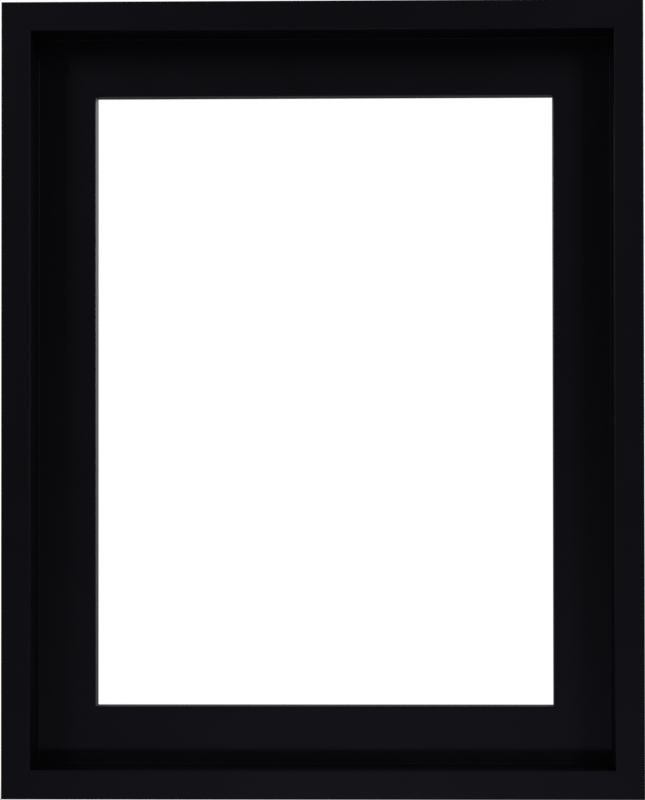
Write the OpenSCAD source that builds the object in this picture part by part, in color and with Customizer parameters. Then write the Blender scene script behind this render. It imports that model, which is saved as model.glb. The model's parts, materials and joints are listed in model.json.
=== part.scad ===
// Floating frame for a stretched canvas or a panel.
//
// Four mitred L-section mouldings make a deep lip with a narrow flat face, and
// a wide ledge behind it. The picture stands on the ledge, clear of the lip all
// round. V-nails driven in from the back pull each mitre together. Two strap
// hangers with D-rings carry the frame, and two bumpers hold it off the wall.
//
// The frame stands upright, with X across, +Y towards the wall and +Z up. The
// origin is under the middle of the frame. Left and right are as seen from the
// front.

/* [Picture] */
// Width of the canvas or panel
canvas_w = 279.4; // [220:0.1:600]
// Height of the canvas or panel
canvas_h = 355.6; // [290:0.1:900]
// Open gap between the picture and the lip
float_gap = 3.2; // [1.5:0.1:8]

/* [Moulding] */
// Width of the lip's flat face
face_w = 14.5; // [12:0.1:30]
// Depth of the recess, from the face back to the ledge
recess_depth = 22.2; // [10:0.1:50]
// Width of the ledge, from the lip to the window
ledge_w = 28.6; // [24:0.1:50]
// Thickness of the ledge
ledge_t = 9.5; // [7:0.1:18]
// Radius of the eased edges on the front
front_ease = 0.8; // [0.2:0.1:2]
// Radius of the eased edges on the back
back_ease = 0.4; // [0.2:0.1:1]

/* [Picture screw holes] */
// Diameter of the blind holes in the ledge's back
pilot_d = 3; // [2:0.1:4]
// Wood left between a hole's end and the ledge's front
pilot_skin = 2; // [1:0.1:4]
// Distance of a hole in from the picture's edge
pilot_inset = 12.7; // [6:0.1:18]
// Distance between the two holes of a side rail
pilot_pitch_side = 120; // [60:1:150]
// Distance between the two holes of the top or bottom rail
pilot_pitch_end = 100; // [60:1:130]

/* [V-nails] */
// Length of each wing of a nail
nail_wing = 5.5; // [3:0.1:8]
// Thickness of a nail's steel
nail_t = 0.5; // [0.3:0.05:1]
// Height of the nail under the lip
lip_nail_h = 12; // [6:0.5:18]
// Height of the nail under the ledge
ledge_nail_h = 6; // [3:0.5:6.5]
// Depth of each nail below the back
nail_sink = 0.3; // [0.1:0.1:0.5]
// Clearance between a nail and its slot
nail_clearance = 0.03; // [0.01:0.01:0.2]

/* [Strap hangers] */
// Distance of the hangers below the top edge
hanger_drop = 100; // [70:1:130]
// Distance of a hanger's screw in from the outer edge
hanger_inset = 9; // [7:0.1:12]
// Distance from the screw to the ring's bar
hanger_reach = 12.5; // [9:0.1:14]
// Width of the strap
strap_w = 9.5; // [7.5:0.1:12]
// Thickness of the strap's sheet
strap_t = 0.8; // [0.5:0.05:1.2]
// Gap between the two layers of the folded strap
fold_gap = 0.08; // [0.04:0.02:0.3]
// Diameter of the screw's hole in the strap
strap_hole_d = 4; // [3.6:0.1:4.8]

/* [D-rings] */
// Diameter of the ring's wire
wire_d = 2.4; // [1.6:0.1:3]
// Width of the ring between the middles of its sides
ring_w = 17.6; // [15.5:0.1:20]
// Radius of the two corners beside the bar
ring_corner_r = 2.5; // [1.8:0.1:3]
// Length of each straight side
ring_side = 0.7; // [0.2:0.1:3]
// Running clearance between the bar and the strap's loop
bar_clearance = 0.08; // [0.04:0.01:0.1]

/* [Hanger screws] */
// Diameter of the shank
shank_d = 3.2; // [2.4:0.1:3.5]
// Length under the head
screw_l = 12.7; // [9:0.1:19]
// Length of the point
point_l = 4; // [2:0.1:6]
// Diameter of the point's tip
tip_d = 0.6; // [0.3:0.1:1]
// Diameter of the head
head_d = 6.9; // [5.6:0.1:8.2]
// Height of the head
head_h = 2.2; // [1.9:0.1:3]
// Rounding of the head's rim
head_round = 1.2; // [0.4:0.1:1.6]
// Width across the cross recess
recess_w = 4; // [3:0.1:4.6]
// Thickness of each arm of the cross recess
recess_t = 0.8; // [0.5:0.1:1.2]
// Depth of the cross recess
recess_h = 1.5; // [0.8:0.1:1.7]
// Clearance between the shank and the wood
shank_clearance = 0.03; // [0.01:0.01:0.2]

/* [Wall bumpers] */
// Diameter of a bumper
bumper_d = 9.5; // [7:0.1:14]
// Height of a bumper
bumper_h = 3.8; // [2:0.1:8]
// Rounding of a bumper's rim
bumper_round = 1.4; // [0.4:0.1:1.8]
// Distance of a bumper in from the side edge
bumper_x = 34; // [26:0.5:60]
// Distance of a bumper up from the bottom edge
bumper_z = 12; // [8:0.5:18]

/* [Hidden] */

$fn = 64;

// What a cut runs past the surface that it opens.
over = 1;

LACQUERED_WOOD = "#151519";
NAIL_STEEL = "#8f9397";
ZINC = "#c3c6c9";
NICKEL = "#d3d5d8";
CLEAR_RUBBER = "#d9dcdb";

// The picture and the gap set the lip, and the moulding sets the rest.
lip_w = canvas_w + 2 * float_gap;
lip_h = canvas_h + 2 * float_gap;
outer_w = lip_w + 2 * face_w;
outer_h = lip_h + 2 * face_w;
moulding_w = face_w + ledge_w;
depth = recess_depth + ledge_t;

// The strap's loop rests on the wood, and the ring's bar is at its centre.
bar_r = wire_d / 2;
loop_inner_r = bar_r + bar_clearance;
loop_outer_r = loop_inner_r + strap_t;
bar_lift = loop_outer_r;
upper_layer = strap_t + fold_gap;
strap_stack = upper_layer + strap_t;

// The origin is midway between the face and what stands furthest off the back.
proud = max(2 * loop_outer_r, strap_stack + head_h, bumper_h);
back_y = (depth - proud) / 2;

screw_x = outer_w / 2 - hanger_inset;
hanger_z = outer_h - hanger_drop;
screw_hole_h = screw_l - strap_stack + shank_clearance;

// Each nail stands under the middle of the lip or of the ledge.
lip_nail_v = (face_w - nail_wing) / 2;
ledge_nail_v = face_w + (ledge_w - nail_wing) / 2;

// The holes are measured from the picture, which their screws go into.
pilot_v = face_w + float_gap + pilot_inset;
pilot_h = ledge_t - pilot_skin;

// ---- Places --------------------------------------------------------------

// Stands up what is drawn lying on its back: x across, y up and z forward.
module stand() {
    translate([0, back_y, 0])
        rotate([90, 0, 0])
            children();
}

// Moves what is drawn at the bottom left corner, lying down, to any corner.
module at_corner(right, top) {
    translate([(right - 0.5) * outer_w, top * outer_h, 0])
        mirror([right, 0, 0])
            mirror([0, top, 0])
                children();
}

// Puts a hanger's piece on the back of the left or right rail. Its origin is
// the middle of the screw's hole, with x inwards and z off the wood.
module at_hanger(right) {
    mirror([right, 0, 0])
        translate([-screw_x, back_y, hanger_z])
            rotate([-90, 0, 0])
                children();
}

// ---- Mouldings -----------------------------------------------------------

// The waste of a rounded corner at the origin, with the material at -x and -y.
module corner_waste(r) {
    difference() {
        translate([-r, -r])
            square(r + over);
        translate([-r, -r])
            circle(r);
    }
}

// Section of a moulding: x is inwards from the outer edge, y is forward.
module moulding_section() {
    difference() {
        union() {
            square([face_w, depth]);
            square([moulding_w, ledge_t]);
        }
        translate([0, depth])
            rotate(90)
                corner_waste(front_ease);
        translate([face_w, depth])
            corner_waste(front_ease);
        translate([moulding_w, ledge_t])
            corner_waste(front_ease);
        translate([moulding_w, 0])
            rotate(-90)
                corner_waste(back_ease);
        rotate(180)
            corner_waste(back_ease);
    }
}

// The space between the two mitres of a rail.
module between_mitres(length) {
    inside = moulding_w + over;
    translate([0, 0, -over])
        linear_extrude(depth + 2 * over)
            polygon([
                [-length / 2 - over, -over],
                [length / 2 + over, -over],
                [length / 2 - inside, inside],
                [-length / 2 + inside, inside]
            ]);
}

// The V of a nail, whose wings start v in from both outer edges of a corner.
module nail_outline(v, clearance) {
    wing = nail_wing + 2 * clearance;
    t = nail_t + 2 * clearance;
    translate([v - clearance, v - clearance]) {
        square([wing, t]);
        square([t, wing]);
    }
}

// A nail's slot, open at the back.
module nail_slot(v, h) {
    translate([0, 0, -over])
        linear_extrude(over + nail_sink + h + nail_clearance)
            nail_outline(v, nail_clearance);
}

// The slots at both ends of a rail.
module nail_slots(length) {
    for (end = [0, 1])
        mirror([end, 0, 0])
            translate([-length / 2, 0, 0]) {
                nail_slot(lip_nail_v, lip_nail_h);
                nail_slot(ledge_nail_v, ledge_nail_h);
            }
}

// The blind holes for the picture's screws.
module pilot_holes(pitch) {
    for (x = [-pitch / 2, pitch / 2])
        translate([x, pilot_v, -over])
            cylinder(d = pilot_d, h = over + pilot_h);
}

// A rail lying on its back, with its outer edge on the x axis.
module rail(length, pilot_pitch) {
    difference() {
        intersection() {
            rotate([90, 0, 90])
                linear_extrude(length, center = true)
                    moulding_section();
            between_mitres(length);
        }
        nail_slots(length);
        pilot_holes(pilot_pitch);
    }
}

module bottom_rail() {
    color(LACQUERED_WOOD)
        stand()
            rail(outer_w, pilot_pitch_end);
}

module top_rail() {
    color(LACQUERED_WOOD)
        stand()
            translate([0, outer_h, 0])
                rotate(180)
                    rail(outer_w, pilot_pitch_end);
}

// The hole in a side rail for its hanger's screw.
module hanger_screw_hole(right) {
    at_hanger(right)
        translate([0, 0, -screw_hole_h])
            cylinder(d = shank_d + 2 * shank_clearance, h = screw_hole_h + over);
}

module side_rail(right) {
    color(LACQUERED_WOOD)
        difference() {
            stand()
                translate([(right - 0.5) * outer_w, outer_h / 2, 0])
                    rotate(right ? 90 : -90)
                        rail(outer_h, pilot_pitch_side);
            hanger_screw_hole(right);
        }
}

// ---- V-nails -------------------------------------------------------------

module nail(v, h, right, top) {
    color(NAIL_STEEL)
        stand()
            at_corner(right, top)
                translate([0, 0, nail_sink])
                    linear_extrude(h)
                        nail_outline(v, 0);
}

module lip_nail(right, top) {
    nail(lip_nail_v, lip_nail_h, right, top);
}

module ledge_nail(right, top) {
    nail(ledge_nail_v, ledge_nail_h, right, top);
}

// ---- Hangers -------------------------------------------------------------

// Three quarters of the loop round the bar, open towards the screw and the wood.
module loop_section() {
    difference() {
        circle(loop_outer_r);
        circle(loop_inner_r);
        translate([-loop_outer_r - over, -loop_outer_r - over])
            square(loop_outer_r + over);
    }
}

// Side view of the folded strap: x is inwards from the screw, y off the wood.
module strap_section() {
    tail = hanger_reach + strap_w / 2;
    low = upper_layer - bar_lift;
    high = strap_stack - bar_lift;
    translate([hanger_reach, bar_lift]) {
        loop_section();
        polygon([
            [-loop_inner_r, 0],
            [-loop_outer_r, 0],
            [-loop_outer_r, high],
            [-tail, high],
            [-tail, low],
            [-loop_inner_r, low]
        ]);
        translate([-tail, -bar_lift])
            square([tail, strap_t]);
    }
}

// Plan of the strap, with a round end about the screw.
module strap_outline() {
    difference() {
        union() {
            circle(d = strap_w);
            translate([0, -strap_w / 2])
                square([hanger_reach + loop_outer_r + over, strap_w]);
        }
        circle(d = strap_hole_d);
    }
}

module hanger_strap(right) {
    color(ZINC)
        at_hanger(right)
            intersection() {
                rotate([90, 0, 0])
                    linear_extrude(strap_w + 2 * over, center = true)
                        strap_section();
                translate([0, 0, -over])
                    linear_extrude(2 * loop_outer_r + 2 * over)
                        strap_outline();
            }
}

// A bend of the ring's wire about the origin, from one angle on through another.
module wire_bend(r, from, through) {
    rotate([0, 0, from])
        rotate_extrude(angle = through)
            translate([r, 0])
                circle(bar_r);
}

// A D-ring lying in the xy plane, with the middle of its bar at the origin.
module d_ring() {
    bar_half = ring_w / 2 - ring_corner_r;
    rotate([90, 0, 0])
        cylinder(r = bar_r, h = 2 * bar_half, center = true);
    for (edge = [0, 1])
        mirror([0, edge, 0]) {
            translate([ring_corner_r, bar_half, 0])
                wire_bend(ring_corner_r, 90, 90);
            translate([ring_corner_r, ring_w / 2, 0])
                rotate([0, 90, 0])
                    cylinder(r = bar_r, h = ring_side);
        }
    translate([ring_corner_r + ring_side, 0, 0])
        wire_bend(ring_w / 2, -90, 180);
}

module hanger_ring(right) {
    color(NICKEL)
        at_hanger(right)
            translate([hanger_reach, 0, bar_lift])
                d_ring();
}

// The head of a screw above the xy plane, with its cross recess.
module screw_head() {
    difference() {
        rotate_extrude()
            difference() {
                square([head_d / 2, head_h]);
                translate([head_d / 2, head_h])
                    corner_waste(head_round);
            }
        for (turn = [0, 90])
            rotate(turn)
                translate([-recess_w / 2, -recess_t / 2, head_h - recess_h])
                    cube([recess_w, recess_t, recess_h + over]);
    }
}

module hanger_screw(right) {
    color(ZINC)
        at_hanger(right)
            translate([0, 0, strap_stack]) {
                screw_head();
                translate([0, 0, point_l - screw_l])
                    cylinder(d = shank_d, h = screw_l - point_l);
                translate([0, 0, -screw_l])
                    cylinder(d1 = tip_d, d2 = shank_d, h = point_l);
            }
}

// ---- Wall bumpers --------------------------------------------------------

module wall_bumper(right) {
    color(CLEAR_RUBBER)
        mirror([right, 0, 0])
            translate([bumper_x - outer_w / 2, back_y, bumper_z])
                rotate([-90, 0, 0])
                    rotate_extrude()
                        difference() {
                            square([bumper_d / 2, bumper_h]);
                            translate([bumper_d / 2, bumper_h])
                                corner_waste(bumper_round);
                        }
}

bottom_rail();
top_rail();
side_rail(0);  // left_rail
side_rail(1);  // right_rail
lip_nail(0, 0);  // lip_nail_bottom_left
lip_nail(1, 0);  // lip_nail_bottom_right
lip_nail(0, 1);  // lip_nail_top_left
lip_nail(1, 1);  // lip_nail_top_right
ledge_nail(0, 0);  // ledge_nail_bottom_left
ledge_nail(1, 0);  // ledge_nail_bottom_right
ledge_nail(0, 1);  // ledge_nail_top_left
ledge_nail(1, 1);  // ledge_nail_top_right
hanger_strap(0);  // hanger_strap_left
hanger_strap(1);  // hanger_strap_right
hanger_ring(0);  // hanger_ring_left
hanger_ring(1);  // hanger_ring_right
hanger_screw(0);  // hanger_screw_left
hanger_screw(1);  // hanger_screw_right
wall_bumper(0);  // wall_bumper_left
wall_bumper(1);  // wall_bumper_right
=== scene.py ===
"""Looks of the floating frame: black lacquered mouldings, and the hardware on their back."""

import json
import math

import bpy
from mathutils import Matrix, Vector

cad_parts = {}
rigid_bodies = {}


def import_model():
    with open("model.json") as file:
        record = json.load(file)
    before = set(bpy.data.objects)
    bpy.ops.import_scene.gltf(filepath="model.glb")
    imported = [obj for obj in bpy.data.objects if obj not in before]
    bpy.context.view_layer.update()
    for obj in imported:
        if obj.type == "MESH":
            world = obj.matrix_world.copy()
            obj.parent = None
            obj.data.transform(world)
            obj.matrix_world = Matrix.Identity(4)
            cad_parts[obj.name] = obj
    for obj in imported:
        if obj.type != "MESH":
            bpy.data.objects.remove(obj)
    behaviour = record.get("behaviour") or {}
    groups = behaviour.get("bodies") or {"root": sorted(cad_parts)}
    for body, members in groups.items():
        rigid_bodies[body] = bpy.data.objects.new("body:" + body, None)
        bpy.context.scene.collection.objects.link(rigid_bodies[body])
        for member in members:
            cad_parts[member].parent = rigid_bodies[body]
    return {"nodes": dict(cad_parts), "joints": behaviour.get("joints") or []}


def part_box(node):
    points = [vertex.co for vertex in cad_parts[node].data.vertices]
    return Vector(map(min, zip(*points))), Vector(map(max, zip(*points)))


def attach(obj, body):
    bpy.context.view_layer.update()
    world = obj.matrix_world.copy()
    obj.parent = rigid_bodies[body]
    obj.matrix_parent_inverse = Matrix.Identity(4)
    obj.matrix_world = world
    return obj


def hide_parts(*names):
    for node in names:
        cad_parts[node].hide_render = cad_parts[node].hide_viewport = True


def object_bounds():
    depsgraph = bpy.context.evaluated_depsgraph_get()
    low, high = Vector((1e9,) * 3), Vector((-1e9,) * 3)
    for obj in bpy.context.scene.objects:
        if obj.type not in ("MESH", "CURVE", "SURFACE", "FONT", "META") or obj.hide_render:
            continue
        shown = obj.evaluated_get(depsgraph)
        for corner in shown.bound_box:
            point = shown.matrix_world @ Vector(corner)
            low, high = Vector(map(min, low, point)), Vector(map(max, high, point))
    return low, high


bpy.ops.object.select_all(action="SELECT")
bpy.ops.object.delete()

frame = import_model()
cad_low, cad_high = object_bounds()
joints = {joint["name"]: joint for joint in frame["joints"]}

# ---- Sizes, in metres ------------------------------------------------------

MM = 0.001

# Points nearer than this count as one.
SLACK = 0.01 * MM

rail_low, rail_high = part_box("bottom_rail")
FRONT_Y = rail_low.y
BACK_Y = rail_high.y
OUTER_W = rail_high.x - rail_low.x
OUTER_H = cad_high.z
MOULDING_W = rail_high.z
LIP_W = 14.5 * MM
LEDGE_T = 9.5 * MM
LEDGE_Y = BACK_Y - LEDGE_T
FRONT_EASE = 0.8 * MM
BACK_EASE = 0.4 * MM
CORNER_FILLET = 0.35 * MM
MITRE_EASE = 0.12 * MM

# The pilot holes for the canvas's screws, and the slots of the V-nails.
PILOT_R = 1.5 * MM
PILOT_DEPTH = 7.5 * MM
PILOT_IN = 30.4 * MM
PILOT_PITCH_SIDE = 120 * MM
PILOT_PITCH_END = 100 * MM
NAIL_T = 0.5 * MM
NAIL_CLEARANCE = 0.03 * MM

# The straps and rings.
STRAP_T = 0.8 * MM
FOLD_GAP = 0.08 * MM
FOLD_R = 0.25 * MM
FOLD_ANGLE = math.radians(270)
SHEET_EASE = 0.12 * MM
TAIL_FLAT = 0.02 * MM
STRAP_HOLE_R = 2 * MM
RING_CORNER_R = 2.5 * MM

# The screws. The thread's root and the tip's flat are shares of a radius.
SHANK_R = 1.6 * MM
SHANK_CLEARANCE = 0.03 * MM
THREAD_ROOT = 0.72
THREAD_PITCH = 1.3 * MM
THREAD_W = 0.55 * MM
THREAD_SINK = 0.12 * MM
PLAIN_L = 2.4 * MM
TIP_FLAT = 0.15
POINT_L = 4 * MM
HEAD_H = 2.2 * MM
HEAD_ROUND = 1.2 * MM
HEAD_EASE = 0.06 * MM
RECESS_W = 4 * MM
RECESS_T = 0.8 * MM
RECESS_H = 1.5 * MM
RECESS_TAPER = 0.6
BUMPER_ROUND = 1.4 * MM

# How finely round shapes are divided.
DOME_SIDES = 64
HOLE_SIDES = 48
WIRE_SIDES = 24
THREAD_SIDES = 24
FRONT_EASE_STEPS = 6
BACK_EASE_STEPS = 4
FOLD_STEPS = 36
FOLD_BACK_STEPS = 8
TAIL_STEPS = 12
RING_CORNER_STEPS = 10
RING_BOW_STEPS = 48
HEAD_STEPS = 8
BUMPER_STEPS = 10

# A face looks along an axis when that part of its normal is larger.
FACING = 0.9

# ---- Camera and lights -----------------------------------------------------

# The camera's place, its turns in degrees, and its lens and sensor in millimetres.
CAMERA_AT = (0.058, -1.0774, 0.1636)
CAMERA_PITCH = 0.645
CAMERA_ROLL = 0.082
CAMERA_YAW = 1.006
CAMERA_SHIFT = (-0.1, 0.05)
LENS = 97.65
SENSOR_W = 36

FLOOR_R = 6.0
CONTACT_REACH = 0.05
CONTACT_CURVE = 0.8

# How far behind the frame the brighter floor takes over, in metres, and how far round
# towards the back and the sides the brighter room does, as parts of a direction.
FLOOR_FADE = 0.3
ROOM_FADE = 0.5
SIDE_FROM = 0.8

# Each softbox: name, place, size and watts.
SOFTBOXES = (
    ("upper_left", (-1.16, -1.3, 1.12), (0.45, 0.9), 2.1),
    ("upper_right", (1.14, -1.3, 1.1), (0.45, 0.9), 2.85),
    ("low_front", (0, -0.8, -0.255), (0.25, 0.08), 0.215),
    ("back_left", (1.1, 1.5, 0.7), (0.6, 0.9), 12.0),
    ("back_right", (-1.2, 1.2, 0.9), (0.5, 0.8), 8.0),
)

# ---- Colours, as linear light ----------------------------------------------

WHITE = (1, 1, 1, 1)
ROOM_FRONT = (0.022, 0.022, 0.0225, 1)
ROOM_SIDE = (0.3, 0.3, 0.305, 1)
ROOM_BACK = (0.22, 0.22, 0.225, 1)
FLOOR_BOUNCE = (0.05, 0.05, 0.0512, 1)
FLOOR_BOUNCE_BACK = (0.16, 0.16, 0.165, 1)
CONTACT_SHADE = (0.45, 0.45, 0.46, 1)
LACQUER = (0.0105, 0.0099, 0.0125, 1)
LACQUER_DEEP = (0.0085, 0.008, 0.0103, 1)
LACQUER_THIN = (0.02, 0.018, 0.0195, 1)
LACQUER_SHEEN = (0.8, 0.75, 1, 1)
BACK_LIGHT = (0.026, 0.022, 0.02, 1)
BACK_DARK = (0.015, 0.0125, 0.0115, 1)
BACK_PORE = (0.007, 0.006, 0.006, 1)
ZINC = (0.62, 0.64, 0.66, 1)
ZINC_DULL = (0.47, 0.5, 0.53, 1)
NICKEL = (0.68, 0.67, 0.64, 1)
NICKEL_DULL = (0.56, 0.54, 0.5, 1)
NAIL_STEEL = (0.36, 0.37, 0.39, 1)
NAIL_DULL = (0.22, 0.22, 0.23, 1)
STEEL_BRIGHT = (0.75, 0.76, 0.77, 1)
RUBBER_DUSTY = (0.62, 0.65, 0.64, 1)
RUBBER_CLEAN = (0.8, 0.82, 0.8, 1)

# ---- Finishes: sizes, roughness and amounts --------------------------------

# Each moulding's wood: the turn of its grain about Y, and a shift to wood of its own.
WOODS = {
    "bottom": (0, (0, 0, 0)),
    "top": (0, (0.7, 0.2, 0.4)),
    "left": (math.pi / 2, (1.3, 0.5, 0.9)),
    "right": (math.pi / 2, (2.1, 0.8, 1.6)),
}

# Grain: the pores' spacing and length, how far they sway, and the noise levels at which
# a pore is open and closed. Bands are slower than pores by their share.
PORE_SPACING = 1.1 * MM
PORE_STRETCH = (0.035, 1, 1)
SWAY = 4 * MM
SWAY_SCALE = 9.0
PORE_OPEN, PORE_CLOSED = 0.3, 0.46
BAND_SHARE = 0.14
PORE_DEPTH = 0.035 * MM
PORE_DEPTH_FRONT = 0.25
PORE_DARKENING = 0.6
PEEL_SIZE = 0.9 * MM
PEEL_DEPTH = 0.012 * MM

# Edge wear: how far a rounded normal leaves the plain one where wear starts and where
# it is full, then what turns noise into patches, and each finish's width and patches.
WEAR_STARTS, WEAR_FULL = 0.995, 0.9
PATCH_GAIN, PATCH_OFFSET = 3.2, -1.15
LACQUER_WEAR_W, LACQUER_PATCH = 0.5 * MM, 9 * MM
PLATE_WEAR_W, PLATE_PATCH = 0.2 * MM, 2.5 * MM
LACQUER_WEAR = 0.35
LACQUER_RUB = -0.06
PLATE_RUB = -0.08

# Lacquer: the matt coat starts and is full at these distances in from the back.
COAT_STARTS, COAT_FULL = 0.5 * MM, 0.1 * MM
LACQUER_SPECULAR = 0.62
LACQUER_ROUGHNESS = 0.46
LACQUER_SMEAR = 0.12
SMEAR_SCALE = 38.0
BACK_ROUGHNESS = 0.62
BACK_BAND_ROUGHNESS = 0.15

# Plate and rubber.
DULL_SCALE = 420.0
DULL_GAIN, DULL_OFFSET = 2.2, -0.6
DULL_ROUGHNESS = 0.16
ROLLED_SCALE = (260, 5200, 5200)
ROLLED_DEPTH = 0.006 * MM
ZINC_ROUGHNESS = 0.3
NICKEL_ROUGHNESS = 0.18
NAIL_ROUGHNESS = 0.34
RUBBER_CLARITY = 0.8
RUBBER_IOR = 1.49
RUBBER_ROUGHNESS = 0.18
CLOUD_SCALE = 700.0
CLOUD_ROUGHNESS = 0.3
CLOUD_DEPTH = 0.02 * MM


# ---- Modelling helpers -----------------------------------------------------


def deselect():
    bpy.ops.object.select_all(action="DESELECT")


def work_on(piece):
    deselect()
    piece.select_set(True)
    bpy.context.view_layer.objects.active = piece


def fresh(name):
    """The primitive just added, with its place and size put into its mesh."""
    piece = bpy.context.object
    piece.name = name
    piece.data.name = name
    bpy.ops.object.transform_apply(location=True, rotation=True, scale=True)
    return piece


def block(name, low, high):
    """A box between two corners."""
    low, high = Vector(low), Vector(high)
    deselect()
    bpy.ops.mesh.primitive_cube_add(size=1, location=(low + high) / 2)
    bpy.context.object.scale = high - low
    return fresh(name)


def rod(name, radius, start, end, sides=32):
    """A cylinder between two points."""
    start, end = Vector(start), Vector(end)
    deselect()
    bpy.ops.mesh.primitive_cylinder_add(
        vertices=sides,
        radius=radius,
        depth=(end - start).length,
        location=(start + end) / 2,
        rotation=(end - start).to_track_quat("Z", "Y").to_euler(),
    )
    return fresh(name)


def open_mesh(piece, mode="EDGE"):
    work_on(piece)
    bpy.ops.object.mode_set(mode="EDIT")
    bpy.ops.mesh.select_mode(type=mode)
    bpy.ops.mesh.select_all(action="DESELECT")


def close_mesh():
    bpy.ops.mesh.select_all(action="DESELECT")
    bpy.ops.object.mode_set(mode="OBJECT")


def pick_all():
    bpy.ops.mesh.select_all(action="SELECT")


def pick(piece, kind, test):
    """Selects the polygons or edges of the open mesh for which the test holds."""
    bpy.ops.mesh.select_all(action="DESELECT")
    bpy.ops.object.mode_set(mode="OBJECT")
    for part in getattr(piece.data, kind):
        part.select = test(part)
    bpy.ops.object.mode_set(mode="EDIT")


def edge_ends(piece, edge):
    return [piece.data.vertices[i].co for i in edge.vertices]


def near(value, target):
    return abs(value - target) < SLACK


def push(value):
    """Draws the selected section on in a straight line."""
    bpy.ops.mesh.extrude_region_move(TRANSFORM_OT_translate={"value": value})


def bend(angle, centre, steps, axis=(0, 0, 1)):
    """Draws the selected section on round an axis, anticlockwise for a positive angle."""
    bpy.ops.mesh.spin(steps=steps, angle=-angle, center=centre, axis=axis)


def round_off(radius, steps):
    """Rounds the selected edges."""
    bpy.ops.mesh.bevel(offset=radius, segments=steps, profile=0.5, affect="EDGES")


def face_out():
    pick_all()
    bpy.ops.mesh.normals_make_consistent(inside=False)


def modify(piece, kind, **settings):
    """Adds a modifier, sets it and applies it."""
    work_on(piece)
    modifier = piece.modifiers.new(kind.title(), kind)
    for key, value in settings.items():
        setattr(modifier, key, value)
    bpy.ops.object.modifier_apply(modifier=modifier.name)


def combine(piece, other, operation):
    modify(piece, "BOOLEAN", operation=operation, solver="EXACT", object=other)
    bpy.data.objects.remove(other)


def cut(piece, cutter):
    combine(piece, cutter, "DIFFERENCE")


def ease_sharp(piece, width, angle):
    """Eases each edge that turns by more than the angle, in degrees."""
    modify(
        piece,
        "BEVEL",
        width=width,
        segments=2,
        limit_method="ANGLE",
        angle_limit=math.radians(angle),
    )


def join(name, pieces):
    deselect()
    for piece in pieces:
        piece.select_set(True)
    bpy.context.view_layer.objects.active = pieces[0]
    bpy.ops.object.join()
    pieces[0].name = name
    return pieces[0]


def copy_of(piece, name):
    work_on(piece)
    bpy.ops.object.duplicate()
    double = bpy.context.object
    double.name = name
    double.data.name = name
    return double


def place(piece, angle, x, z):
    """Turns what was modelled at the origin about the Y axis, and puts it at its place."""
    work_on(piece)
    piece.rotation_euler = (0, angle, 0)
    piece.location = (x, 0, z)
    bpy.ops.object.transform_apply(location=True, rotation=True, scale=True)


def mirror_copy(piece, name):
    """A copy on the other side of the frame's middle."""
    double = copy_of(piece, name)
    double.scale = (-1, 1, 1)
    bpy.ops.object.transform_apply(location=True, rotation=True, scale=True)
    open_mesh(double)
    face_out()
    close_mesh()
    return double


def smooth(piece, angle=30):
    """Smooth shading that stays flat on the large flat faces."""
    work_on(piece)
    bpy.ops.object.shade_smooth_by_angle(angle=math.radians(angle))
    modify(piece, "WEIGHTED_NORMAL", mode="FACE_AREA", keep_sharp=True)


# ---- Mouldings -------------------------------------------------------------


def ease_edges(piece, y, z, radius, steps):
    """Rounds the edges that run along the moulding at a depth and a height."""

    def along_x(edge):
        a, b = edge_ends(piece, edge)
        return abs(a.x - b.x) > MM and all(near(p.y, y) and near(p.z, z) for p in (a, b))

    pick(piece, "edges", along_x)
    round_off(radius, steps)


def moulding(name, length):
    """The bottom rail's moulding for a frame of this length, with its mitres and eased edges."""
    rail = block(name, (-length / 2, LEDGE_Y, 0), (length / 2, BACK_Y, MOULDING_W))
    open_mesh(rail, "FACE")
    pick_all()
    bpy.ops.mesh.bisect(plane_co=(0, 0, LIP_W), plane_no=(0, 0, 1))
    pick(rail, "polygons", lambda face: face.normal.y < -FACING and face.center.z < LIP_W)
    push((0, FRONT_Y - LEDGE_Y, 0))
    for end in (-1, 1):
        pick_all()
        bpy.ops.mesh.bisect(
            plane_co=(end * length / 2, 0, 0),
            plane_no=(end, 0, 1),
            use_fill=True,
            clear_outer=True,
        )
    bpy.ops.mesh.select_mode(type="EDGE")
    for y, z, radius, steps in (
        (FRONT_Y, 0, FRONT_EASE, FRONT_EASE_STEPS),
        (FRONT_Y, LIP_W, FRONT_EASE, FRONT_EASE_STEPS),
        (LEDGE_Y, MOULDING_W, FRONT_EASE, FRONT_EASE_STEPS),
        (BACK_Y, 0, BACK_EASE, BACK_EASE_STEPS),
        (BACK_Y, MOULDING_W, BACK_EASE, BACK_EASE_STEPS),
        (LEDGE_Y, LIP_W, CORNER_FILLET, BACK_EASE_STEPS),
    ):
        ease_edges(rail, y, z, radius, steps)

    def on_mitre(edge):
        return all(near(length / 2 - abs(p.x), p.z) for p in edge_ends(rail, edge))

    pick(rail, "edges", on_mitre)
    round_off(MITRE_EASE, 2)
    close_mesh()
    return rail


def nail_slots(length):
    """The slots at both ends of a moulding, each run out past the mitre."""
    slots = []
    for kind in ("lip", "ledge"):
        low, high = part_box(kind + "_nail_bottom_left")
        start = low.z - NAIL_CLEARANCE
        for end in (-1, 1):
            corner = end * length / 2
            xs = sorted((corner - end * (start - MM), corner - end * (high.z + NAIL_CLEARANCE)))
            slots.append(
                block(
                    "slot",
                    (xs[0], low.y - NAIL_CLEARANCE, start),
                    (xs[1], BACK_Y + MM, start + NAIL_T + 2 * NAIL_CLEARANCE),
                )
            )
    return join("slots", slots)


def pilot_holes(pitch):
    holes = [
        rod("hole", PILOT_R, (x, BACK_Y - PILOT_DEPTH, PILOT_IN), (x, BACK_Y + MM, PILOT_IN))
        for x in (-pitch / 2, pitch / 2)
    ]
    return join("holes", holes)


def drilled_moulding(name, length, pitch):
    rail = moulding(name, length)
    cut(rail, nail_slots(length))
    cut(rail, pilot_holes(pitch))
    return rail


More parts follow.
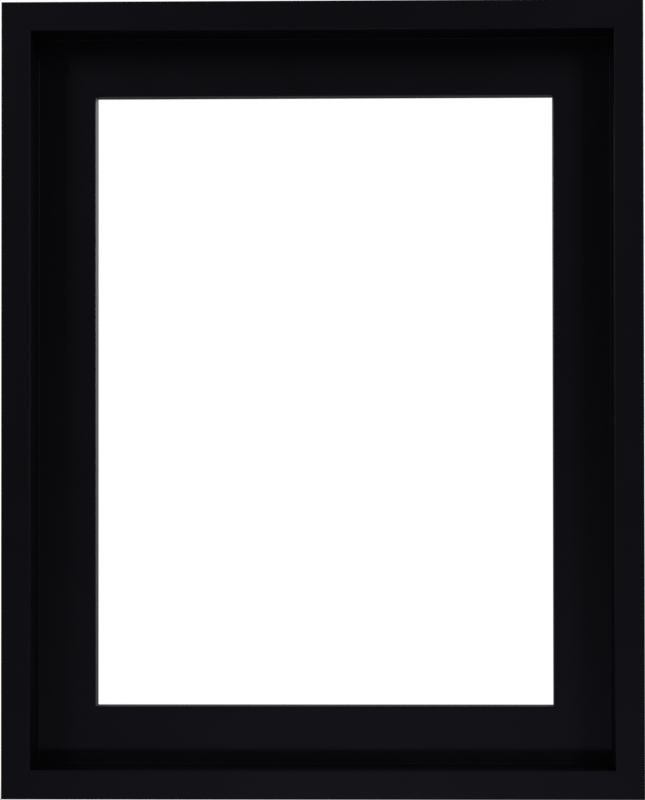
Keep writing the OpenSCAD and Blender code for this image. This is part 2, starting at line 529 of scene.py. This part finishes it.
def drill_for_screw(rail, screw):
    """The hole under a hanger, which its screw fills."""
    low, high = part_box(screw)
    middle = (low + high) / 2
    radius = SHANK_R + SHANK_CLEARANCE
    cut(rail, rod("drill", radius, (middle.x, low.y, middle.z), (middle.x, BACK_Y + MM, middle.z)))


def make_mouldings():
    """Two kinds of moulding, each made once at the bottom, copied, and put in place."""
    bottom = drilled_moulding("bottom_moulding", OUTER_W, PILOT_PITCH_END)
    left = drilled_moulding("left_moulding", OUTER_H, PILOT_PITCH_SIDE)
    top = copy_of(bottom, "top_moulding")
    right = copy_of(left, "right_moulding")
    place(top, math.pi, 0, OUTER_H)
    place(left, math.pi / 2, -OUTER_W / 2, OUTER_H / 2)
    place(right, -math.pi / 2, OUTER_W / 2, OUTER_H / 2)
    drill_for_screw(left, "hanger_screw_left")
    drill_for_screw(right, "hanger_screw_right")
    rails = {"bottom": bottom, "top": top, "left": left, "right": right}
    for side, rail in rails.items():
        smooth(rail)
        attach(rail, "frame")
        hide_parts(side + "_rail")
    return rails


# ---- Hangers ---------------------------------------------------------------


def make_strap():
    """The left hanger's strap: up from its lower layer, round the bar, and back."""
    low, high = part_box("hanger_strap_left")
    bar = Vector(joints["ring_left_swing"]["pos_m"])
    strap = block("strap_left", (low.x, low.y, low.z), (bar.x, low.y + STRAP_T, high.z))
    open_mesh(strap, "FACE")
    pick(strap, "polygons", lambda face: face.normal.x > FACING)
    bend(FOLD_ANGLE, bar, FOLD_STEPS)
    stack = 2 * STRAP_T + FOLD_GAP
    turn = Vector((bar.x - (high.x - bar.x) - FOLD_R, low.y + stack + FOLD_R, bar.z))
    push((0, turn.y - bar.y, 0))
    bend(-math.pi / 2, turn, FOLD_BACK_STEPS)
    push((low.x - turn.x, 0, 0))

    def tail_corner(edge):
        a, b = edge_ends(strap, edge)
        return near(a.x, low.x) and near(b.x, low.x) and near(a.z, b.z)

    bpy.ops.mesh.select_mode(type="EDGE")
    pick(strap, "edges", tail_corner)
    round_off((high.z - low.z) / 2 - TAIL_FLAT, TAIL_STEPS)
    close_mesh()
    screw_low, screw_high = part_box("hanger_screw_left")
    x, z = (screw_low.x + screw_high.x) / 2, (low.z + high.z) / 2
    cut(strap, rod("drill", STRAP_HOLE_R, (x, low.y - MM, z), (x, high.y + MM, z), HOLE_SIDES))
    ease_sharp(strap, SHEET_EASE, 45)
    smooth(strap)
    return strap


def make_ring():
    """The left hanger's D-ring: its wire drawn round from the middle of the bar."""
    low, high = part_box("hanger_ring_left")
    bar = Vector(joints["ring_left_swing"]["pos_m"])
    wire_r = (high.y - low.y) / 2
    half = (high.z - low.z) / 2 - wire_r
    deselect()
    bpy.ops.mesh.primitive_circle_add(vertices=WIRE_SIDES, radius=wire_r, location=bar)
    ring = fresh("ring_left")
    open_mesh(ring)
    pick_all()
    straight = half - RING_CORNER_R
    bow_x = high.x - wire_r - half
    corner_x = bar.x + RING_CORNER_R
    side = bow_x - bar.x - RING_CORNER_R

    about_y = (0, 1, 0)
    push((0, 0, straight))
    bend(math.pi / 2, (corner_x, bar.y, bar.z + straight), RING_CORNER_STEPS, about_y)
    push((side, 0, 0))
    bend(math.pi, (bow_x, bar.y, bar.z), RING_BOW_STEPS, about_y)
    push((-side, 0, 0))
    bend(math.pi / 2, (corner_x, bar.y, bar.z - straight), RING_CORNER_STEPS, about_y)
    push((0, 0, straight))
    pick_all()
    bpy.ops.mesh.remove_doubles(threshold=SLACK)
    face_out()
    close_mesh()
    smooth(ring, 60)
    return ring


def make_head(name, radius, middle, seat_y, top_y):
    """A pan head with a cross recess."""
    head = rod(name, radius, (middle.x, seat_y, middle.z), (middle.x, top_y, middle.z), DOME_SIDES)
    round_top(head, top_y, HEAD_ROUND, HEAD_STEPS)
    for across, up in ((RECESS_W, RECESS_T), (RECESS_T, RECESS_W)):
        wing = block(
            "recess",
            (middle.x - across / 2, top_y - RECESS_H, middle.z - up / 2),
            (middle.x + across / 2, top_y + MM, middle.z + up / 2),
        )
        shrink_bottom(wing, middle, RECESS_TAPER)
        cut(head, wing)
    ease_sharp(head, HEAD_EASE, 40)
    return head


def round_top(piece, top_y, radius, steps):
    """Rounds the rim of a piece that stands out from the back."""
    open_mesh(piece)
    pick(piece, "edges", lambda edge: all(near(p.y, top_y) for p in edge_ends(piece, edge)))
    round_off(radius, steps)
    close_mesh()


def shrink_bottom(piece, middle, share):
    """Narrows the face that looks forward, to a share of its size."""
    open_mesh(piece, "FACE")
    pick(piece, "polygons", lambda face: face.normal.y < -FACING)
    bpy.ops.transform.resize(value=(share, 1, share), center_override=middle)
    close_mesh()


def wind_thread(middle, core_r, start_y, end_y):
    """A sharp thread wound up round the core, closed at both ends."""
    turns = int((end_y - start_y) / THREAD_PITCH)
    height = SHANK_R - core_r + THREAD_SINK
    # A triangle in a circle of radius 1 is 1.5 high and the root of 3 wide.
    up, across = height / 1.5, THREAD_W / math.sqrt(3)
    deselect()
    bpy.ops.mesh.primitive_circle_add(
        vertices=3,
        radius=1,
        fill_type="NOTHING",
        location=(SHANK_R - up, 0, 0),
        rotation=(0, 0, -math.pi / 2),
    )
    bpy.context.object.scale = (across, up, 1)
    thread = fresh("thread")
    modify(
        thread,
        "SCREW",
        axis="Y",
        screw_offset=THREAD_PITCH,
        iterations=turns,
        steps=THREAD_SIDES,
        render_steps=THREAD_SIDES,
    )
    open_mesh(thread)
    pick_all()
    bpy.ops.mesh.fill_holes(sides=3)
    face_out()
    bpy.ops.transform.translate(value=(middle.x, start_y, middle.z))
    close_mesh()
    return thread


def make_shank(middle, tip_y, seat_y):
    """The screw below the strap: a pointed core with a thread wound round it."""
    core_r = THREAD_ROOT * SHANK_R
    tip, seat = (middle.x, tip_y, middle.z), (middle.x, seat_y, middle.z)
    core = rod("core", core_r, tip, seat, THREAD_SIDES)
    open_mesh(core, "FACE")
    pick_all()
    bpy.ops.mesh.bisect(plane_co=(0, tip_y + POINT_L, 0), plane_no=(0, 1, 0))
    close_mesh()
    shrink_bottom(core, middle, TIP_FLAT)
    combine(core, wind_thread(middle, core_r, tip_y + POINT_L, seat_y - PLAIN_L), "UNION")
    open_mesh(core)
    pick_all()
    bpy.ops.mesh.remove_doubles(threshold=SLACK)
    bpy.ops.mesh.dissolve_degenerate(threshold=SLACK)
    close_mesh()
    return core


def make_screw():
    """The left hanger's pan-head wood screw."""
    low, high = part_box("hanger_screw_left")
    middle = (low + high) / 2
    seat_y = high.y - HEAD_H
    head = make_head("screw_left", (high.x - low.x) / 2, middle, seat_y, high.y)
    screw = join("screw_left", [head, make_shank(middle, low.y, seat_y)])
    smooth(screw, 35)
    return screw


def make_hangers():
    """Both hangers' pieces, each with the name of its finish."""
    made = []
    for left, node, body, slot in (
        (make_strap(), "hanger_strap", "frame", "zinc_plate"),
        (make_ring(), "hanger_ring", "ring", "nickel_plate"),
        (make_screw(), "hanger_screw", "frame", "zinc_plate"),
    ):
        right = mirror_copy(left, left.name.replace("left", "right"))
        for piece, side in ((left, "left"), (right, "right")):
            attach(piece, body if body == "frame" else f"{body}_{side}")
            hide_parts(f"{node}_{side}")
            made.append((piece, slot))
    return made


# ---- Bumpers ---------------------------------------------------------------


def make_bumpers():
    """Clear domes, stuck on the back at the bottom corners."""
    low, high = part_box("wall_bumper_left")
    middle = (low + high) / 2
    foot, top = (middle.x, low.y, middle.z), (middle.x, high.y, middle.z)
    dome = rod("bumper_left", (high.x - low.x) / 2, foot, top, DOME_SIDES)
    round_top(dome, high.y, BUMPER_ROUND, BUMPER_STEPS)
    smooth(dome)
    pair = [dome, mirror_copy(dome, "bumper_right")]
    for piece, side in zip(pair, ("left", "right")):
        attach(piece, "frame")
        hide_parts("wall_bumper_" + side)
    return pair


# ---- Shader helpers --------------------------------------------------------

# The Mix node's sockets in use for each kind: the factor and what it mixes, and the result.
MIX_SOCKETS = {"RGBA": ((0, 6, 7), 2), "FLOAT": ((0, 2, 3), 0)}


def new_material(name):
    material = bpy.data.materials.new(name)
    material.use_nodes = True
    return material, material.node_tree, material.node_tree.nodes["Principled BSDF"]


def feed(tree, value, socket):
    """Links an output to a socket, or sets the socket to a plain value."""
    if isinstance(value, bpy.types.NodeSocket):
        tree.links.new(value, socket)
    elif value is not None:
        socket.default_value = value


def add(tree, kind, **settings):
    """A shader node. Each setting is one of its properties, or else an input's value."""
    node = tree.nodes.new("ShaderNode" + kind)
    for key, value in settings.items():
        if key in node.bl_rna.properties:
            setattr(node, key, value)
        else:
            node.inputs[key.replace("_", " ")].default_value = value
    return node


def maths(tree, operation, first, second=None, third=None, clamp=False):
    node = add(tree, "Math", operation=operation, use_clamp=clamp)
    for socket, value in zip(node.inputs, (first, second, third)):
        feed(tree, value, socket)
    return node.outputs[0]


def mix(tree, kind, amount, first, second):
    node = add(tree, "Mix", data_type=kind)
    taken, given = MIX_SOCKETS[kind]
    for index, value in zip(taken, (amount, first, second)):
        feed(tree, value, node.inputs[index])
    return node.outputs[given]


def blend(tree, amount, first, second):
    """Mixes two colours, each an output or a plain colour."""
    return mix(tree, "RGBA", amount, first, second)


def noise(tree, vector, scale, detail, roughness=0.5):
    node = add(tree, "TexNoise", Detail=detail, Roughness=roughness)
    feed(tree, vector, node.inputs["Vector"])
    feed(tree, scale, node.inputs["Scale"])
    return node


def ramp(tree, value, start, end):
    """A smooth step from 0 at the start to 1 at the end."""
    step = add(tree, "MapRange", interpolation_type="SMOOTHSTEP", From_Min=start, From_Max=end)
    feed(tree, value, step.inputs["Value"])
    return step.outputs["Result"]


def stretched(tree, vector, scale):
    node = add(tree, "Mapping", Scale=scale)
    feed(tree, vector, node.inputs["Vector"])
    return node.outputs["Vector"]


def parts_of(tree, vector):
    """The X, Y and Z of a vector."""
    split = add(tree, "SeparateXYZ")
    feed(tree, vector, split.inputs["Vector"])
    return split.outputs


def bump(tree, height, depth, normal=None):
    node = add(tree, "Bump", Distance=depth)
    feed(tree, height, node.inputs["Height"])
    feed(tree, normal, node.inputs["Normal"])
    return node.outputs["Normal"]


def new_group(name, inputs, outputs):
    """A node group. Each input has a label, a kind, and a first value or None."""
    tree = bpy.data.node_groups.new(name, "ShaderNodeTree")
    for label, kind, value in inputs:
        socket = tree.interface.new_socket(label, in_out="INPUT", socket_type=kind)
        if value is not None:
            socket.default_value = value
    for label, kind in outputs:
        tree.interface.new_socket(label, in_out="OUTPUT", socket_type=kind)
    given, result = tree.nodes.new("NodeGroupInput"), tree.nodes.new("NodeGroupOutput")
    return tree, given.outputs, result.inputs


def place_group(tree, group, vector, **inputs):
    node = tree.nodes.new("ShaderNodeGroup")
    node.node_tree = group
    feed(tree, vector, node.inputs["Vector"])
    for key, value in inputs.items():
        feed(tree, value, node.inputs[key.replace("_", " ")])
    return node.outputs


# ---- Finishes --------------------------------------------------------------


def make_orange_peel():
    """The fine dimples of sprayed lacquer, as a height."""
    tree, given, result = new_group(
        "orange_peel",
        [("Vector", "NodeSocketVector", None), ("Size", "NodeSocketFloat", PEEL_SIZE)],
        [("Height", "NodeSocketFloat")],
    )
    per_metre = maths(tree, "DIVIDE", 1.0, given["Size"])
    dimples = noise(tree, given["Vector"], per_metre, detail=1.5, roughness=0.4)
    feed(tree, dimples.outputs["Fac"], result["Height"])
    return tree


def swayed(tree, vector):
    """The vector, moved about a little and slowly, so that lines along it wander."""
    drift = noise(tree, vector, SWAY_SCALE, detail=2.0)
    centred = add(tree, "VectorMath", operation="SUBTRACT")
    feed(tree, drift.outputs["Color"], centred.inputs[0])
    feed(tree, (0.5, 0.5, 0.5), centred.inputs[1])
    sway = add(tree, "VectorMath", operation="SCALE", Scale=SWAY)
    feed(tree, centred.outputs[0], sway.inputs[0])
    moved = add(tree, "VectorMath", operation="ADD")
    feed(tree, vector, moved.inputs[0])
    feed(tree, sway.outputs[0], moved.inputs[1])
    return moved.outputs[0]


def make_grain():
    """Straight grain along X: fine pores as a height, and slow bands as a tone."""
    tree, given, result = new_group(
        "straight_grain",
        [("Vector", "NodeSocketVector", None), ("Pore Spacing", "NodeSocketFloat", PORE_SPACING)],
        [("Pores", "NodeSocketFloat"), ("Bands", "NodeSocketFloat")],
    )
    along = stretched(tree, swayed(tree, given["Vector"]), PORE_STRETCH)
    per_metre = maths(tree, "DIVIDE", 1.0, given["Pore Spacing"])
    pores = noise(tree, along, per_metre, detail=3.0, roughness=0.55)
    feed(tree, ramp(tree, pores.outputs["Fac"], PORE_OPEN, PORE_CLOSED), result["Pores"])
    bands = noise(tree, along, maths(tree, "MULTIPLY", per_metre, BAND_SHARE), detail=2.0)
    feed(tree, bands.outputs["Fac"], result["Bands"])
    return tree


def make_edge_wear():
    """A mask of the sharp edges, broken up where the finish has held."""
    tree, given, result = new_group(
        "edge_wear",
        [
            ("Vector", "NodeSocketVector", None),
            ("Patch Size", "NodeSocketFloat", LACQUER_PATCH),
            ("Rounded Normal", "NodeSocketVector", None),
            ("Normal", "NodeSocketVector", None),
        ],
        [("Mask", "NodeSocketFloat")],
    )
    facing = add(tree, "VectorMath", operation="DOT_PRODUCT")
    feed(tree, given["Rounded Normal"], facing.inputs[0])
    feed(tree, given["Normal"], facing.inputs[1])
    edge = ramp(tree, facing.outputs["Value"], WEAR_STARTS, WEAR_FULL)
    per_metre = maths(tree, "DIVIDE", 1.0, given["Patch Size"])
    patches = noise(tree, given["Vector"], per_metre, detail=4.0, roughness=0.6).outputs["Fac"]
    worn = maths(tree, "MULTIPLY_ADD", patches, PATCH_GAIN, PATCH_OFFSET, clamp=True)
    feed(tree, maths(tree, "MULTIPLY", edge, worn), result["Mask"])
    return tree


def edge_mask(tree, vector, width, patch_size):
    """Edge wear, placed in a material with its own width and patches."""
    rounded = add(tree, "Bevel", samples=4, Radius=width)
    plain = add(tree, "NewGeometry")
    wear = place_group(
        tree,
        GROUPS["edge_wear"],
        vector,
        Patch_Size=patch_size,
        Rounded_Normal=rounded.outputs["Normal"],
        Normal=plain.outputs["Normal"],
    )
    return wear["Mask"]


def lacquer_tone(tree, grain, back, worn):
    front = blend(tree, grain["Bands"], LACQUER_DEEP, LACQUER)
    front = blend(tree, maths(tree, "MULTIPLY", worn, LACQUER_WEAR), front, LACQUER_THIN)
    stain = blend(tree, grain["Bands"], BACK_DARK, BACK_LIGHT)
    in_pores = maths(tree, "MULTIPLY_ADD", grain["Pores"], -PORE_DARKENING, PORE_DARKENING)
    return blend(tree, back, front, blend(tree, in_pores, stain, BACK_PORE))


def lacquer_roughness(tree, vector, grain, back, worn):
    smear = noise(tree, vector, SMEAR_SCALE, detail=4.0, roughness=0.6).outputs["Fac"]
    least = LACQUER_ROUGHNESS - LACQUER_SMEAR / 2
    front = maths(tree, "MULTIPLY_ADD", smear, LACQUER_SMEAR, least)
    front = maths(tree, "MULTIPLY_ADD", worn, LACQUER_RUB, front)
    stain = maths(tree, "MULTIPLY_ADD", grain["Bands"], BACK_BAND_ROUGHNESS, BACK_ROUGHNESS)
    return mix(tree, "FLOAT", back, front, stain)


def lacquer_relief(tree, grain, peel, back):
    """Pores under the orange peel, filled by the lacquer except on the back."""
    depth = maths(tree, "MULTIPLY_ADD", back, 1 - PORE_DEPTH_FRONT, PORE_DEPTH_FRONT)
    normal = bump(tree, maths(tree, "MULTIPLY", grain["Pores"], depth), PORE_DEPTH)
    return bump(tree, peel["Height"], PEEL_DEPTH, normal)


def make_lacquer(name, turn, shift):
    """Satin black lacquer on straight-grained wood, with a thin matt coat on the back."""
    material, tree, shader = new_material(name)
    shader.inputs["Specular IOR Level"].default_value = LACQUER_SPECULAR
    shader.inputs["Specular Tint"].default_value = LACQUER_SHEEN
    where = add(tree, "TexCoord").outputs["Object"]
    along = add(tree, "Mapping", Rotation=(0, turn, 0), Location=shift)
    feed(tree, where, along.inputs["Vector"])
    vector = along.outputs["Vector"]
    grain = place_group(tree, GROUPS["straight_grain"], vector)
    peel = place_group(tree, GROUPS["orange_peel"], vector)
    back = ramp(tree, parts_of(tree, where)["Y"], BACK_Y - COAT_STARTS, BACK_Y - COAT_FULL)
    worn = edge_mask(tree, vector, LACQUER_WEAR_W, LACQUER_PATCH)
    feed(tree, lacquer_tone(tree, grain, back, worn), shader.inputs["Base Color"])
    roughness = lacquer_roughness(tree, vector, grain, back, worn)
    feed(tree, roughness, shader.inputs["Roughness"])
    feed(tree, lacquer_relief(tree, grain, peel, back), shader.inputs["Normal"])
    return material


def make_plate(name, tone, dull_tone, roughness):
    """Plated steel, dulled in soft patches, with fine rolling lines and rubbed edges."""
    material, tree, shader = new_material(name)
    vector = add(tree, "TexCoord").outputs["Object"]
    shader.inputs["Metallic"].default_value = 1.0
    patches = noise(tree, vector, DULL_SCALE, detail=4.0, roughness=0.6).outputs["Fac"]
    dull = maths(tree, "MULTIPLY_ADD", patches, DULL_GAIN, DULL_OFFSET, clamp=True)
    worn = edge_mask(tree, vector, PLATE_WEAR_W, PLATE_PATCH)
    colour = blend(tree, worn, blend(tree, dull, tone, dull_tone), STEEL_BRIGHT)
    feed(tree, colour, shader.inputs["Base Color"])
    rough = maths(tree, "MULTIPLY_ADD", dull, DULL_ROUGHNESS, roughness)
    rough = maths(tree, "MULTIPLY_ADD", worn, PLATE_RUB, rough)
    feed(tree, rough, shader.inputs["Roughness"])
    rolled = noise(tree, stretched(tree, vector, ROLLED_SCALE), 1.0, detail=2.0).outputs["Fac"]
    feed(tree, bump(tree, rolled, ROLLED_DEPTH), shader.inputs["Normal"])
    return material


def make_clear_rubber():
    """Frosted clear rubber, a little cloudy, with dust held on its skin."""
    material, tree, shader = new_material("clear_rubber")
    vector = add(tree, "TexCoord").outputs["Object"]
    shader.inputs["Transmission Weight"].default_value = RUBBER_CLARITY
    shader.inputs["IOR"].default_value = RUBBER_IOR
    cloud = noise(tree, vector, CLOUD_SCALE, detail=4.0).outputs["Fac"]
    feed(tree, blend(tree, cloud, RUBBER_DUSTY, RUBBER_CLEAN), shader.inputs["Base Color"])
    rough = maths(tree, "MULTIPLY_ADD", cloud, CLOUD_ROUGHNESS, RUBBER_ROUGHNESS)
    feed(tree, rough, shader.inputs["Roughness"])
    feed(tree, bump(tree, cloud, CLOUD_DEPTH), shader.inputs["Normal"])
    return material


def finish_with(piece, material):
    piece.data.materials.clear()
    piece.data.materials.append(material)


def finish_all(mouldings, hangers, bumpers):
    for side, (turn, shift) in WOODS.items():
        finish_with(mouldings[side], make_lacquer(side + "_lacquer", turn, shift))
    plates = {
        "zinc_plate": make_plate("zinc_plate", ZINC, ZINC_DULL, ZINC_ROUGHNESS),
        "nickel_plate": make_plate("nickel_plate", NICKEL, NICKEL_DULL, NICKEL_ROUGHNESS),
    }
    for piece, slot in hangers:
        finish_with(piece, plates[slot])
    nail_steel = make_plate("nail_steel", NAIL_STEEL, NAIL_DULL, NAIL_ROUGHNESS)
    for node, piece in frame["nodes"].items():
        if "_nail_" in node:
            finish_with(piece, nail_steel)
    clear = make_clear_rubber()
    for piece in bumpers:
        finish_with(piece, clear)


# ---- Studio ----------------------------------------------------------------


def make_camera():
    bpy.ops.object.camera_add(
        location=CAMERA_AT,
        rotation=[math.radians(turn) for turn in (90 + CAMERA_PITCH, CAMERA_ROLL, CAMERA_YAW)],
    )
    camera = bpy.context.object
    camera.data.sensor_width = SENSOR_W
    camera.data.lens = LENS
    camera.data.shift_x, camera.data.shift_y = CAMERA_SHIFT
    bpy.context.scene.camera = camera


def seen_white(tree, seen, unseen):
    """A colour for what the camera sees, and another for what lights the frame."""
    path = add(tree, "LightPath")
    return blend(tree, path.outputs["Is Camera Ray"], unseen, seen)


def behind(tree, vector, fade):
    """A mask of what lies behind the frame, fading in over a stretch of Y."""
    return ramp(tree, parts_of(tree, vector)["Y"], 0, fade)


def make_floor():
    """A pale floor, bright to the camera, with a soft contact shadow. It casts no shadow
    itself, so the low softbox shines up through it."""
    deselect()
    bpy.ops.mesh.primitive_circle_add(vertices=96, radius=FLOOR_R, fill_type="NGON")
    floor = bpy.context.object
    floor.name = "floor"
    material, tree, shader = new_material("floor_paper")
    tree.nodes.remove(shader)
    closeness = add(tree, "AmbientOcclusion", samples=16, Distance=CONTACT_REACH)
    shade = maths(tree, "POWER", closeness.outputs["AO"], CONTACT_CURVE)
    seen = blend(tree, shade, CONTACT_SHADE, WHITE)
    where = add(tree, "TexCoord").outputs["Object"]
    bounce = blend(tree, behind(tree, where, FLOOR_FADE), FLOOR_BOUNCE, FLOOR_BOUNCE_BACK)
    glow = add(tree, "Emission")
    feed(tree, seen_white(tree, seen, bounce), glow.inputs["Color"])
    feed(tree, glow.outputs[0], tree.nodes["Material Output"].inputs["Surface"])
    material.cycles.emission_sampling = "NONE"
    floor.data.materials.append(material)
    floor.visible_shadow = False


def make_world():
    """White to the camera. For the light it gives, a room that is dim in front of the
    frame and brighter at its sides and back."""
    world = bpy.data.worlds.new("studio")
    bpy.context.scene.world = world
    world.use_nodes = True
    tree = world.node_tree
    direction = add(tree, "TexCoord").outputs["Generated"]
    sideways = maths(tree, "ABSOLUTE", parts_of(tree, direction)["X"])
    room = blend(tree, ramp(tree, sideways, SIDE_FROM, 1), ROOM_FRONT, ROOM_SIDE)
    room = blend(tree, behind(tree, direction, ROOM_FADE), room, ROOM_BACK)
    feed(tree, seen_white(tree, WHITE, room), tree.nodes["Background"].inputs["Color"])


def softbox(name, place, aim, size, power):
    """A rectangular soft light that the camera doesn't see, turned to an aim."""
    bpy.ops.object.light_add(type="AREA", location=place)
    lamp = bpy.context.object
    lamp.name = name
    lamp.data.shape = "RECTANGLE"
    lamp.data.size, lamp.data.size_y = size
    lamp.data.energy = power
    lamp.rotation_euler = (Vector(aim) - Vector(place)).to_track_quat("-Z", "Y").to_euler()
    lamp.visible_camera = False


def make_studio():
    make_floor()
    make_world()
    middle = (0, 0, OUTER_H / 2)
    for name, place, size, power in SOFTBOXES:
        softbox(name, place, middle, size, power)
    scene = bpy.context.scene
    scene.view_settings.view_transform = "Standard"
    scene.view_settings.look = "None"


make_camera()
GROUPS = {
    "orange_peel": make_orange_peel(),
    "straight_grain": make_grain(),
    "edge_wear": make_edge_wear(),
}
finish_all(make_mouldings(), make_hangers(), make_bumpers())
make_studio()
